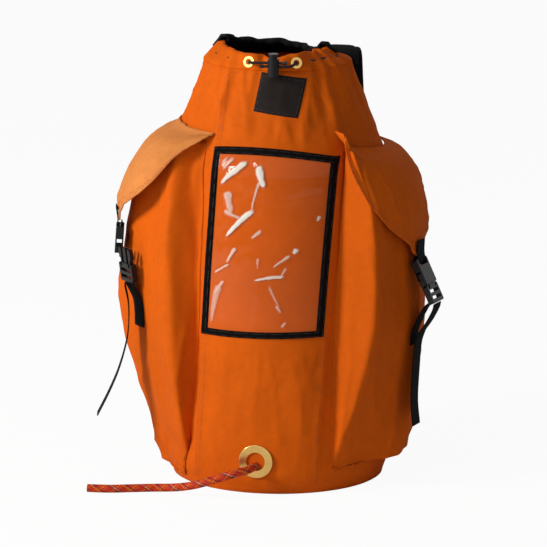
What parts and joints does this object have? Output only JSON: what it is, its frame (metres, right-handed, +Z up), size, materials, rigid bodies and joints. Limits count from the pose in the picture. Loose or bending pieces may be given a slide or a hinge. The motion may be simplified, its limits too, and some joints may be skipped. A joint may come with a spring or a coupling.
{
  "type": "rope storage bag",
  "caption": "Cloth rope rucksack with a drawcord mouth, bellows side pockets under buckled flaps, a clear front window, shoulder straps and a brass rope port at the foot.",
  "frame": {"origin": "middle of the underside of the base panel", "axes": "+Z up, the front of the bag faces -Y, the wearer's back is at +Y, +X is to the right seen from the front"},
  "size_m": [0.4684, 0.3455, 0.597],
  "materials": {
    "orange_cordura": "coated pack cloth",
    "black_webbing": "woven",
    "black_binding": "woven tape",
    "black_acetal": "moulded",
    "clear_vinyl": "glossy",
    "label_rubber": "matt",
    "brass": "polished",
    "spring_steel": "drawn",
    "drawcord_black": "braided",
    "pad_cloth": "padded",
    "kernmantle_rope": "braided"
  },
  "bodies": {
    "bag": {"back_pad": "pad_cloth", "back_panel": "orange_cordura", "back_rim_webbing": "black_webbing", "base_panel": "orange_cordura", "cord_eyelets": "brass", "cord_hem": "orange_cordura", "drawcord_free_ends": "drawcord_black", "drawcord_in_hem": "drawcord_black", "front_panel": "orange_cordura", "haul_loop_base": "black_webbing", "label_patch": "label_rubber", "left_flap_yoke": "orange_cordura", "left_lower_anchor": "black_webbing", "left_lower_webbing": "black_webbing", "left_pocket": "orange_cordura", "left_shoulder_base": "pad_cloth", "left_side_panel": "orange_cordura", "left_strap_base": "black_webbing", "right_flap_yoke": "orange_cordura", "right_lower_anchor": "black_webbing", "right_lower_webbing": "black_webbing", "right_pocket": "orange_cordura", "right_shoulder_base": "pad_cloth", "right_side_panel": "orange_cordura", "right_strap_lower": "black_webbing", "right_tail_lower": "black_webbing", "rope_grommet": "brass", "rope_grommet_washer": "brass", "rope_stopper": "kernmantle_rope", "rope_tail": "kernmantle_rope", "window_binding": "black_binding", "window_vinyl": "clear_vinyl"},
    "left_flap": {"left_flap": "orange_cordura", "left_flap_tab": "black_webbing"},
    "left_socket": {"left_buckle_socket": "black_acetal"},
    "left_strap": {"left_strap": "black_webbing", "left_buckle_plug": "black_acetal", "left_strap_tail": "black_webbing"},
    "left_prong_a": {"left_buckle_prong_a": "black_acetal"},
    "left_prong_b": {"left_buckle_prong_b": "black_acetal"},
    "right_flap": {"right_flap": "orange_cordura", "right_flap_tab": "black_webbing", "right_buckle_socket": "black_acetal", "right_strap_upper": "black_webbing", "right_tail_upper": "black_webbing"},
    "right_plug": {"right_buckle_plug": "black_acetal"},
    "right_prong_a": {"right_buckle_prong_a": "black_acetal"},
    "right_prong_b": {"right_buckle_prong_b": "black_acetal"},
    "cord_lock": {"cord_lock_body": "black_acetal", "cord_lock_spring": "spring_steel"},
    "cord_button": {"cord_lock_button": "black_acetal"},
    "haul_loop": {"haul_loop": "black_webbing"},
    "left_shoulder": {"left_shoulder_strap": "pad_cloth", "left_ladder_lock": "black_acetal"},
    "right_shoulder": {"right_shoulder_strap": "pad_cloth", "right_ladder_lock": "black_acetal"}
  },
  "joints": [
    {"name": "left_flap_hinge", "type": "hinge", "parent": "bag", "child": "left_flap", "pos_m": [-0.143, 0, 0.47873], "axis": [0, 1, 0], "range_deg": [0, 115]},
    {"name": "left_socket_swing", "type": "hinge", "parent": "left_flap", "child": "left_socket", "pos_m": [-0.20933, -0.03789, 0.3361], "axis": [-0.225, 0.9744, 0], "range_deg": [0, 50]},
    {"name": "left_strap_swing", "type": "hinge", "parent": "bag", "child": "left_strap", "pos_m": [-0.17952, -0.05783, 0.22315], "axis": [0.682, -0.7314, 0], "range_deg": [0, 70], "deforming": ["left_strap_tail"]},
    {"name": "left_prong_a_squeeze", "type": "hinge", "parent": "left_strap", "child": "left_prong_a", "pos_m": [-0.18483, -0.07701, 0.29057], "axis": [-0.7242, -0.6754, -0.1392], "range_deg": [0, 5], "stiffness_Nm_per_rad": 0.05},
    {"name": "left_prong_b_squeeze", "type": "hinge", "parent": "left_strap", "child": "left_prong_b", "pos_m": [-0.19902, -0.06179, 0.29057], "axis": [0.7242, 0.6754, 0.1392], "range_deg": [0, 5], "stiffness_Nm_per_rad": 0.05},
    {"name": "right_flap_hinge", "type": "hinge", "parent": "bag", "child": "right_flap", "pos_m": [0.143, 0, 0.455], "axis": [0, -1, 0], "range_deg": [0, 25], "deforming": ["right_strap_lower", "right_tail_lower"]},
    {"name": "right_buckle_release", "type": "slide", "parent": "right_flap", "child": "right_plug", "axis": [0.4271, -0.0986, -0.8988], "range_m": [0, 0.03], "deforming": ["right_strap_upper", "right_tail_upper"]},
    {"name": "right_prong_a_squeeze", "type": "hinge", "parent": "right_plug", "child": "right_prong_a", "pos_m": [0.21874, -0.03145, 0.2744], "axis": [0.8758, -0.2022, 0.4384], "range_deg": [0, 5], "stiffness_Nm_per_rad": 0.05},
    {"name": "right_prong_b_squeeze", "type": "hinge", "parent": "right_plug", "child": "right_prong_b", "pos_m": [0.21406, -0.05172, 0.2744], "axis": [-0.8758, 0.2022, -0.4384], "range_deg": [0, 5], "stiffness_Nm_per_rad": 0.05},
    {"name": "cord_lock_slide", "type": "slide", "parent": "bag", "child": "cord_lock", "axis": [1, 0, 0], "range_m": [-0.0055, 0.0045]},
    {"name": "cord_button_press", "type": "slide", "parent": "cord_lock", "child": "cord_button", "axis": [0, 0, -1], "range_m": [0, 0.004], "stiffness_N_per_m": 300, "deforming": ["cord_lock_spring"]},
    {"name": "haul_loop_swing", "type": "hinge", "parent": "bag", "child": "haul_loop", "pos_m": [0, 0.08568, 0.56191], "axis": [1, 0, 0], "range_deg": [0, 105]},
    {"name": "left_shoulder_swing", "type": "hinge", "parent": "bag", "child": "left_shoulder", "pos_m": [-0.066, 0.09277, 0.548], "axis": [1, 0, 0], "range_deg": [0, 20], "deforming": ["left_lower_webbing"]},
    {"name": "right_shoulder_swing", "type": "hinge", "parent": "bag", "child": "right_shoulder", "pos_m": [0.066, 0.09277, 0.548], "axis": [1, 0, 0], "range_deg": [0, 20], "deforming": ["right_lower_webbing"]}
  ]
}
